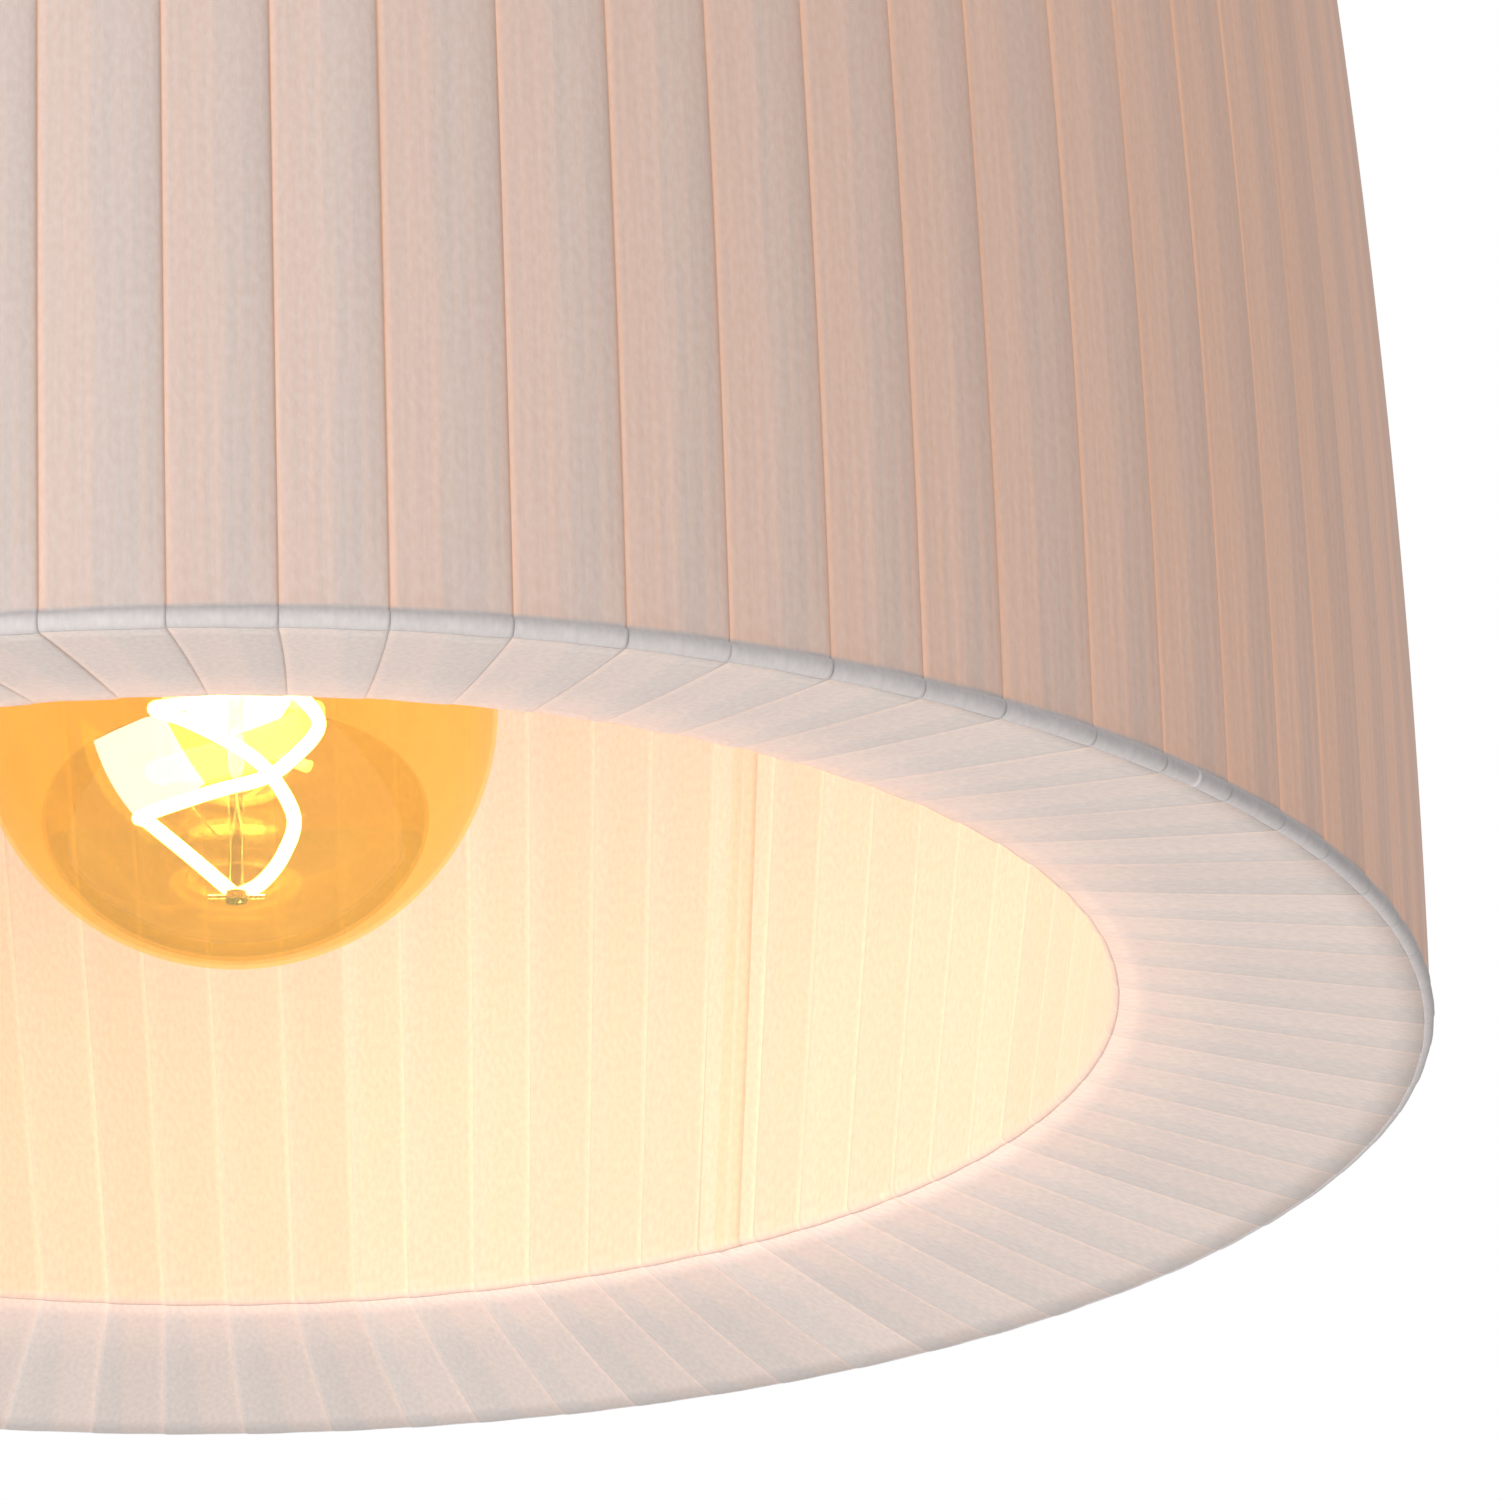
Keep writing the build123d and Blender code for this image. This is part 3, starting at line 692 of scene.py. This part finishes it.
    def strip(self, name: str, side: Side, profile: Sequence[tuple[float, float]], edge: float) -> bpy.types.Object:
        """Makes cloth along one side of the section, as a thin closed sheet with its map and attributes.

        Args:
            name: the strip's name.
            side: which side.
            profile: places across the strip and their lifts, in millimetres.
            edge: place of the strip's edge that its bearing is measured to, in millimetres.

        Returns:
            An object that holds the strip at bearing 0.
        """
        section = self.section(side)
        points: list[Vector] = []
        outwards: list[Vector] = []
        marks: list[tuple[float, float]] = []
        wires: list[float] = []
        for face in (1, 0):
            for (radius, height, across, up, length), lean, lay in section:
                near = math.hypot(radius - self.rim.radius, height - self.rim.height) < self.roll + 0.0004
                for place, lift in profile:
                    off = lift * MM * lay + face * self.thickness
                    r, z = radius + across * off, height + up * off
                    angle = math.radians(lean) + (place - edge) * MM / radius
                    points.append(Vector((r * math.sin(angle), -r * math.cos(angle), z)))
                    outwards.append(Vector((across * math.sin(angle), -across * math.cos(angle), up)))
                    marks.append((place * MM, length))
                    wires.append(float(near and side is Side.OUTER))
        columns, rows = len(profile), len(section)
        half = columns * rows
        faces: list[list[int]] = []
        for row in range(rows - 1):
            for column in range(columns - 1):
                a = row * columns + column
                ring = [a, a + columns, a + columns + 1, a + 1]
                faces.append(ring)
                faces.append([v + half for v in ring[::-1]])
        rim = [c for c in range(columns)]
        rim += [r * columns + columns - 1 for r in range(1, rows)]
        rim += [(rows - 1) * columns + c for c in range(columns - 2, -1, -1)]
        rim += [r * columns for r in range(rows - 2, 0, -1)]
        for here, there in zip(rim, rim[1:] + rim[:1]):
            faces.append([here, there, there + half, here + half])
        piece = mesh_object(name, points, faces)
        mesh = piece.data
        mesh.attributes.new("outwards", "FLOAT_VECTOR", "POINT").data.foreach_set(
            "vector", [x for v in outwards for x in v])
        mesh.attributes.new("place", "FLOAT", "POINT").data.foreach_set("value", [m[0] / MM for m in marks])
        mesh.attributes.new("over_wire", "FLOAT", "POINT").data.foreach_set("value", wires)
        layer = mesh.uv_layers.new(name="ribbon")
        for loop in mesh.loops:
            layer.data[loop.index].uv = marks[loop.vertex_index]
        return piece

    def winding_tree(self, material: bpy.types.Material) -> bpy.types.NodeTree:
        """Builds the node tree that repeats one turn round the axis.

        Args:
            material: what the turns are made of.

        Returns:
            A tree whose inputs are Geometry, Turns, First, Scatter, Wrinkle and Seed.
        """
        tree = bpy.data.node_groups.new("wind_ribbon", "GeometryNodeTree")
        face = tree.interface
        face.new_socket("Geometry", in_out="INPUT", socket_type="NodeSocketGeometry")
        face.new_socket("Turns", in_out="INPUT", socket_type="NodeSocketInt")
        for name in ("First", "Scatter", "Wrinkle"):
            face.new_socket(name, in_out="INPUT", socket_type="NodeSocketFloat")
        face.new_socket("Seed", in_out="INPUT", socket_type="NodeSocketInt")
        face.new_socket("Geometry", in_out="OUTPUT", socket_type="NodeSocketGeometry")
        graph = Graph(tree)
        given = graph.add("NodeGroupInput").outputs
        index = graph.add("GeometryNodeInputIndex").outputs[0]
        spread = graph.math("MULTIPLY", given["Scatter"], -1.0)

        def strayed(number: Any) -> bpy.types.NodeSocket:
            """Returns how far the turn of this number strays, in radians."""
            draw = graph.add("FunctionNodeRandomValue", data_type="FLOAT")
            graph.put(draw.inputs[2], spread)
            graph.put(draw.inputs[3], given["Scatter"])
            graph.put(draw.inputs["ID"], number)
            graph.put(draw.inputs["Seed"], given["Seed"])
            return draw.outputs[1]

        own = strayed(index)
        before = strayed(graph.math("MODULO", graph.math("ADD", index, float(self.turns - 1)), float(self.turns)))
        step = graph.math("DIVIDE", math.tau, given["Turns"])
        bearing = graph.math("ADD", graph.math("MULTIPLY_ADD", index, step, given["First"]), own)
        spots = graph.add("GeometryNodePoints", {"Count": given["Turns"]}).outputs[0]
        turn = graph.add("ShaderNodeCombineXYZ", {2: bearing}).outputs[0]
        spin = graph.add("FunctionNodeEulerToRotation", {0: turn}).outputs[0]
        copies = graph.add("GeometryNodeInstanceOnPoints", {
            "Points": spots, "Instance": given["Geometry"], "Rotation": spin}).outputs[0]
        tone = graph.add("FunctionNodeRandomValue", {"ID": index, "Seed": 5}, data_type="FLOAT").outputs[1]
        slip = graph.math("SUBTRACT", own, before)
        for name, value in (("bearing", bearing), ("slip", slip), ("tone", tone), ("turn", index)):
            copies = graph.add("GeometryNodeStoreNamedAttribute", {"Geometry": copies, "Name": name, "Value": value},
                               data_type="FLOAT", domain="INSTANCE").outputs[0]
        cloth = graph.add("GeometryNodeRealizeInstances", {"Geometry": copies}).outputs[0]

        def read(name: str, kind: str = "FLOAT") -> bpy.types.NodeSocket:
            """Returns a stored attribute."""
            return graph.add("GeometryNodeInputNamedAttribute", {"Name": name}, data_type=kind).outputs[0]

        way = graph.add("ShaderNodeVectorRotate", {
            "Vector": read("outwards", "FLOAT_VECTOR"),
            "Angle": read("bearing"),
        }, rotation_type="Z_AXIS").outputs[0]
        spot = graph.add("GeometryNodeInputPosition").outputs[0]
        height = graph.add("ShaderNodeSeparateXYZ", {0: spot}).outputs[2]
        where = graph.add("ShaderNodeCombineXYZ", {
            0: graph.math("MULTIPLY", read("place"), 0.11),
            1: graph.math("MULTIPLY", height, 9.0),
            2: graph.math("MULTIPLY", read("turn"), 7.3)}).outputs[0]
        noise = graph.add("ShaderNodeTexNoise", {"Vector": where, "Scale": 1.0, "Detail": 2.0}).outputs[0]
        swell = graph.math("MULTIPLY", graph.math("SUBTRACT", noise, 0.5), given["Wrinkle"])
        push = graph.add("ShaderNodeVectorMath", {0: way}, operation="SCALE")
        graph.put(push.inputs["Scale"], swell)
        cloth = graph.add("GeometryNodeSetPosition", {"Geometry": cloth, "Offset": push.outputs[0]}).outputs[0]
        ground = graph.add("ShaderNodeVectorMath", {0: spot, 1: (1.0, 1.0, 0.0)}, operation="MULTIPLY").outputs[0]
        radius = graph.add("ShaderNodeVectorMath", {0: ground}, operation="LENGTH").outputs["Value"]
        # Millimetres from the turn before's upper edge, which lies one pitch back from this turn's own edge.
        pitch = graph.math("MULTIPLY_ADD", radius, step, graph.math("MULTIPLY", read("slip"), radius))
        pitch = graph.math("MULTIPLY", pitch, 1000.0)
        seam = graph.math("ADD", graph.math("SUBTRACT", read("place"), self.width / 2 / MM), pitch)
        cloth = graph.add("GeometryNodeStoreNamedAttribute", {"Geometry": cloth, "Name": "from_seam", "Value": seam},
                          data_type="FLOAT", domain="POINT").outputs[0]
        cloth = graph.add("GeometryNodeSetMaterial", {"Geometry": cloth, "Material": material}).outputs[0]
        graph.add("NodeGroupOutput", {0: cloth})
        return tree

    def wind(self, side: Side, finish: Finish) -> bpy.types.Object:
        """Winds one side of the shade.

        Args:
            side: which side.
            finish: its cloth.

        Returns:
            The finished turns as one plain mesh.
        """
        piece = self.strip(f"{side.value}_ribbon_turns", side, self.profile, self.width / 2 / MM)
        material = finish.made()
        values = {
            "Turns": self.turns, "First": math.radians(self.first_edge), "Scatter": math.radians(self.scatter),
            "Wrinkle": self.wrinkle, "Seed": 11,
        }
        grown(piece, self.winding_tree(material), values)
        flat = self.section(side)[-1][0][4] * self.turns
        dressed(piece, "shade", finish, f"{side.value}_ribbon", f"{side.value}_ribbon")
        return piece

    def end_tuck(self) -> None:
        """Tucks the ribbon's creased end under the turns of the inner wall."""
        piece = self.strip("ribbon_end_tuck", Side.INNER, self.tuck_profile, 0.0)
        turn = Matrix.Rotation(math.radians(self.tuck_bearing), 4, "Z")
        piece.data.transform(turn)
        dressed(piece, "shade", Finish.RIBBON_END, "inner_ribbon")
        self.section(Side.INNER)[-1][0][4]

    def build(self) -> None:
        """Winds all three sides and tucks in the end."""
        self.wind(Side.OUTER, Finish.OUTER_RIBBON)
        self.wind(Side.BOTTOM, Finish.BOTTOM_RIBBON)
        self.wind(Side.INNER, Finish.INNER_RIBBON)
        self.end_tuck()


def grown(piece: bpy.types.Object, tree: bpy.types.NodeTree, values: dict[str, Any]) -> None:
    """Runs a node tree on a piece and keeps the result as its plain mesh.

    Args:
        piece: the piece that holds the tree's starting geometry.
        tree: the tree.
        values: the tree's inputs by name.
    """
    modifier = piece.modifiers.new(tree.name, "NODES")
    modifier.node_group = tree
    for item in tree.interface.items_tree:
        if item.item_type == "SOCKET" and item.in_out == "INPUT" and item.name in values:
            modifier[item.identifier] = values[item.name]
    graph = bpy.context.evaluated_depsgraph_get()
    mesh = bpy.data.meshes.new_from_object(piece.evaluated_get(graph), depsgraph=graph)
    piece.modifiers.remove(modifier)
    old, piece.data = piece.data, mesh
    bpy.data.meshes.remove(old)
    mesh.name = piece.name


# ------------------------------------------------------------------ the bulb


@dataclass
class GlobeBulb:
    """The amber globe bulb with its lit double filament.

    Attributes:
        wall: thickness of the glass.
        thread: radius of a lit strand.
        low: lowest corner of the glass's box.
        high: highest corner of the glass's box.
    """

    wall: float = 0.0008
    thread: float = 0.0013
    low: Vector = field(default_factory=lambda: Vector(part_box("bulb_glass")[0]))
    high: Vector = field(default_factory=lambda: Vector(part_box("bulb_glass")[1]))

    # Where the sphere ends, in degrees above its middle, and the steps of the sphere and of the neck's curve.
    shoulder = 52
    sphere_steps = 44
    neck_steps = 14

    # The neck's radius, the pull of its curve at either end and its height, as shares of the globe's radius.
    neck_share = 0.3
    shoulder_pull = 0.27
    neck_pull = 0.2
    neck_height = 1.22

    # Stations of each lit strand, in millimetres from the globe's centre, from the foot that they share.
    strands = (
        ((0.0, 0.0, -36.7), (4.6, 1.5, -33.5), (8.6, 2.5, -27.5), (10.3, 0.0, -21.3), (5.5, -10.0, -16.5),
         (-1.0, -13.0, -12.4), (-9.0, -10.5, -7.0), (-14.7, 0.0, -0.3), (-10.0, 10.0, 5.0), (0.0, 13.5, 9.0),
         (10.0, 10.0, 13.0), (14.6, 0.0, 16.0)),
        ((0.0, 0.0, -36.7), (-8.0, 0.0, -29.2), (-15.6, 0.4, -22.3), (-16.8, 2.6, -20.2), (-7.6, 11.5, -13.0),
         (-1.7, 13.0, -10.5), (4.9, 12.0, -9.0), (9.6, 9.0, -7.0), (15.0, 1.5, -3.0), (10.6, -8.5, -0.6),
         (0.0, -13.5, 4.5), (-10.0, -10.0, 9.0), (-14.6, 0.0, 13.0)),
    )

    @property
    def radius(self) -> float:
        """Radius of the globe."""
        return (self.high.x - self.low.x) / 2

    @property
    def centre(self) -> float:
        """Height of the globe's centre."""
        return self.low.z + self.radius

    def shell(self, inset: float) -> list[tuple[float, float]]:
        """Returns the globe's outline from its lowest point to the top of its neck.

        Args:
            inset: how far inside the outer face it runs.
        """
        radius, neck = self.radius - inset, self.neck_share * self.radius - inset
        line = arc((0.0, self.centre), radius, -90, self.shoulder, self.sphere_steps)
        start = Vector(line[-1])
        lean = math.radians(self.shoulder)
        pull = start + Vector((-math.sin(lean), math.cos(lean))) * self.shoulder_pull * self.radius
        end = Vector((neck, self.centre + self.neck_height * self.radius))
        rise = end - Vector((0.0, self.neck_pull * self.radius))
        for step in range(1, self.neck_steps + 1):
            t = step / self.neck_steps
            point = start * (1 - t) ** 3 + pull * 3 * t * (1 - t) ** 2 + rise * 3 * t * t * (1 - t) + end * t**3
            line.append((point.x, point.y))
        line.append((neck, self.high.z - 0.001 - inset))
        line[0] = (0.0, self.centre - radius)
        return line

    def glass(self) -> bpy.types.Object:
        """Blows the glass, a shell of real thickness."""
        outside, inside = self.shell(0.0), self.shell(self.wall)
        piece = turned("globe_glass", outside + inside[::-1], 128)
        return dressed(piece, "bulb", Finish.AMBER_GLASS, "amber_glass", "bulb_glass")

    def filament(self) -> bpy.types.Object:
        """Bends both lit strands and joins them at the foot."""
        centre = Vector((0, 0, self.centre))
        parts = []
        for number, stops in enumerate(self.strands):
            way = smooth_way([centre + Vector(stop) * MM for stop in stops], 8)
            parts.append(tube(f"filament_strand_{number + 1}", way, self.thread, 12))
        piece = merged("lit_filament", parts)
        return dressed(piece, "bulb", Finish.FILAMENT, "filament", "filament")

    def build(self) -> None:
        """Makes the glass and the filament, and coats what is inside."""
        self.glass()
        self.filament()
        coat_nodes(("glass_stem",), Finish.STEM_GLASS)
        coat_nodes(("lead_wires", "filament_hook"), Finish.LEAD_WIRE)
        coat_nodes(("bulb_cap",), Finish.BULB_CAP)
        coat_nodes(("bulb_contact",), Finish.SOLDER)
        coat_nodes(("bulb_insulator",), Finish.INSULATOR)


def smooth_way(stations: Sequence[Vector], steps: int) -> list[Vector]:
    """Runs a smooth line through stations.

    Args:
        stations: the points it passes.
        steps: how many steps between two of them.

    Returns:
        Points along the line.
    """
    line = [stations[0] * 2 - stations[1], *stations, stations[-1] * 2 - stations[-2]]
    way = []
    for a, b, c, d in zip(line, line[1:], line[2:], line[3:]):
        for step in range(steps):
            t = step / steps
            way.append((b * 2 + (c - a) * t + (a * 2 - b * 5 + c * 4 - d) * t * t
                        + (b * 3 - a - c * 3 + d) * t**3) * 0.5)
    return way + [stations[-1]]


def merged(name: str, parts: Sequence[bpy.types.Object]) -> bpy.types.Object:
    """Puts several meshes into one object.

    Args:
        name: the name of the result.
        parts: the objects, which are removed.

    Returns:
        The object that holds them all.
    """
    points: list[Vector] = []
    faces: list[list[int]] = []
    for part in parts:
        first = len(points)
        points += [v.co.copy() for v in part.data.vertices]
        faces += [[first + v for v in face.vertices] for face in part.data.polygons]
        bpy.data.objects.remove(part)
    return mesh_object(name, points, faces)


# ------------------------------------------------------------------ what keeps its CAD shape


@dataclass
class WireFrame:
    """The welded frame that carries the ribbon."""

    ribs: int = 6
    arms: int = 3

    def build(self) -> None:
        """Coats the rings, ribs, struts, arms and fitter."""
        names = ["top_ring", "bottom_outer_ring", "bottom_inner_ring"]
        for kind in ("outer_rib", "inner_rib", "bottom_strut"):
            names += [f"{kind}_{number}" for number in range(1, self.ribs + 1)]
        coat_nodes(names, Finish.FRAME_WIRE)
        spider = [f"spider_arm_{number}" for number in range(1, self.arms + 1)] + ["fitter_ring"]
        coat_nodes(spider, Finish.SPIDER)


@dataclass
class Lampholder:
    """The lampholder over the bulb, with its contacts and terminals."""

    def build(self) -> None:
        """Coats the holder's parts."""
        coat_nodes(("holder_cap", "holder_skirt"), Finish.HOLDER)
        coat_nodes(("shade_ring",), Finish.SHADE_RING)
        coat_nodes(("socket_insert",), Finish.INSERT)
        coat_nodes(("thread_shell", "centre_contact", "terminal_blocks"), Finish.BRASS)
        coat_nodes(("cap_grub_screw", "terminal_screws"), Finish.SCREW_STEEL)


# ------------------------------------------------------------------ the studio


@dataclass
class Studio:
    """Floor, lights and camera.

    Attributes:
        rim: the bottom outer ring, which the camera is placed by.
        away: how far in front of the axis the camera is, in the rim's radii.
        below: how far under the rim it is, in the rim's radii.
        yaw: its turn to the right, in radians.
        pitch: its tilt upwards, in radians.
        roll: its turn about its own axis, in radians.
        lens: its focal length in millimetres.
        drop: how far under the rim the floor lies, in metres.
        sky: strength of the light from all round.
        bulb_power: power of the light inside the globe, in watts.
    """

    rim: RingWire = field(default_factory=lambda: RingWire.of("bottom_outer_ring"))
    away: float = 4.579
    below: float = 1.595
    yaw: float = 0.0973
    pitch: float = 0.3941
    roll: float = -0.0399
    lens: float = 136.98
    drop: float = 3.4
    sky: float = 0.40
    bulb_power: float = 0.64

    def floor(self) -> None:
        """Lays the pale floor."""
        size, level = 6.0, self.rim.height - self.drop
        corners = [Vector((x * size, y * size, level)) for x, y in ((-1, -1), (1, -1), (1, 1), (-1, 1))]
        floor = mesh_object("studio_floor", corners, [[0, 1, 2, 3]], smooth=False)
        floor.data.materials.append(Finish.FLOOR.made())

    def world(self) -> None:
        """Surrounds the lamp with soft light, and with plain white for the camera."""
        world = bpy.data.worlds.new("studio_world")
        bpy.context.scene.world = world
        world.use_nodes = True
        graph = Graph(world.node_tree)
        seen = graph.add("ShaderNodeBackground", {"Color": rgb(1, 1, 1), "Strength": 1.0})
        lit = graph.add("ShaderNodeBackground", {"Color": rgb(0.98, 0.98, 1.0), "Strength": self.sky})
        ray = graph.add("ShaderNodeLightPath").outputs["Is Camera Ray"]
        both = graph.add("ShaderNodeMixShader", {0: ray, 1: lit.outputs[0], 2: seen.outputs[0]})
        graph.add("ShaderNodeOutputWorld", {"Surface": both.outputs[0]})

    def lamp(self, name: str, place: Vector, target: Vector, size: float, power: float, tint: Colour) -> None:
        """Hangs a soft square light.

        Args:
            name: its name.
            place: where it hangs.
            target: where it points.
            size: length of its side.
            power: its power in watts.
            tint: its colour.
        """
        light = bpy.data.lights.new(name, "AREA")
        light.shape, light.size, light.energy, light.color = "SQUARE", size, power, tint[:3]
        lamp = bpy.data.objects.new(name, light)
        lamp.location = place
        lamp.rotation_euler = (target - place).to_track_quat("-Z", "Y").to_euler()
        bpy.context.scene.collection.objects.link(lamp)

    def glow(self, centre: float) -> None:
        """Sets the warm light inside the globe.

        Args:
            centre: the height of the globe's centre.
        """
        light = bpy.data.lights.new("bulb_light", "POINT")
        light.energy, light.color, light.shadow_soft_size = self.bulb_power, (1.0, 0.66, 0.50), 0.012
        lamp = bpy.data.objects.new("bulb_light", light)
        lamp.location = (0, 0, centre - 0.006)
        bpy.context.scene.collection.objects.link(lamp)

    def camera(self) -> None:
        """Sets up the camera, below the shade and in front of it."""
        ahead = Vector((math.sin(self.yaw) * math.cos(self.pitch), math.cos(self.yaw) * math.cos(self.pitch),
                        math.sin(self.pitch)))
        right = Vector((math.cos(self.yaw), -math.sin(self.yaw), 0))
        up = right.cross(ahead)
        across = right * math.cos(self.roll) + up * math.sin(self.roll)
        upright = up * math.cos(self.roll) - right * math.sin(self.roll)
        data = bpy.data.cameras.new("studio_camera")
        data.lens, data.sensor_width, data.clip_end = self.lens, 36.0, 50.0
        camera = bpy.data.objects.new("studio_camera", data)
        turn = Matrix((across, upright, -ahead)).transposed().to_4x4()
        turn.translation = (0, -self.away * self.rim.radius, self.rim.height - self.below * self.rim.radius)
        camera.matrix_world = turn
        bpy.context.scene.collection.objects.link(camera)
        bpy.context.scene.camera = camera

    def build(self, centre: float) -> None:
        """Sets up everything round the lamp.

        Args:
            centre: the height of the globe's centre.
        """
        self.floor()
        self.world()
        aim = Vector((0, 0, self.rim.height / 2))
        self.lamp("key_light", Vector((-1.4, -2.75, 0.6)), aim, 1.6, 27.0, rgb(1.0, 0.99, 0.97))
        self.lamp("fill_light", Vector((-1.57, -1.2, -1.80)), Vector((0, 0, centre)), 1.7, 38.0, rgb(1.0, 0.98, 0.97))
        self.glow(centre)
        self.camera()
        bpy.context.scene.view_settings.view_transform = "Standard"


def main() -> None:
    """Builds the lamp and its studio."""
    logging.basicConfig(level=logging.INFO, format="%(name)s: %(message)s")
    RibbonWinding().build()
    bulb = GlobeBulb()
    bulb.build()
    WireFrame().build()
    Lampholder().build()
    Studio().build(bulb.centre)


if __name__ == "__main__":
    main()
